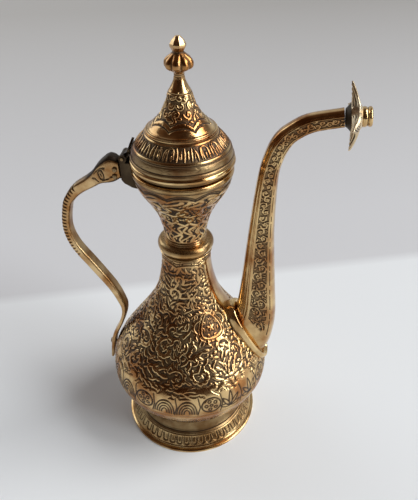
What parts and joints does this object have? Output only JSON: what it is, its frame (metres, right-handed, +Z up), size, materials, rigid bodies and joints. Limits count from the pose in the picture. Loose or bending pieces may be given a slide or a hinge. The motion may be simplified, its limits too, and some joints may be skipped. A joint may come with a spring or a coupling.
{
  "type": "dallah coffee pot",
  "caption": "Engraved brass dallah coffee pot with a pear body on a flared foot, a waisted neck, a tall curved spout with a petal collar, a cast bird-head handle and a hinged spired lid",
  "frame": {"origin": "on the table plane, under the middle of the length from the handle's back to the nozzle's end", "axes": "+Z up along the turned body's axis, +X from the handle towards the spout, +Y across both"},
  "size_m": [0.1744, 0.1066, 0.27],
  "materials": {
    "chased_brass": "antique chased brass with dark patina in the recesses",
    "polished_brass": "worn polish",
    "cast_brass": "cast and filed, lightly tarnished",
    "dark_brass": "dark tarnish"
  },
  "bodies": {
    "pot": {"foot": "polished_brass", "bowl": "chased_brass", "shoulder": "chased_brass", "neck_collar": "polished_brass", "neck_cup": "chased_brass", "mouth_bead": "polished_brass", "spout_half_left": "chased_brass", "spout_half_right": "chased_brass", "spout_flange": "polished_brass", "spout_flower": "cast_brass", "spout_nozzle": "polished_brass", "handle": "cast_brass", "hinge_bracket": "dark_brass", "hinge_pin": "dark_brass", "beak_rivet_1": "cast_brass", "beak_rivet_2": "cast_brass", "tail_rivet": "cast_brass"},
    "lid": {"lid_bezel": "dark_brass", "lid_rim": "polished_brass", "lid_dome": "chased_brass", "lid_spire": "chased_brass", "hinge_leaf": "dark_brass", "finial": "cast_brass", "finial_stud": "dark_brass", "finial_nut": "dark_brass"}
  },
  "joints": [
    {"name": "lid_hinge", "type": "hinge", "parent": "pot", "child": "lid", "pos_m": [-0.0433, 0, 0.2046], "axis": [0, -1, 0], "range_deg": [0, 112]}
  ]
}
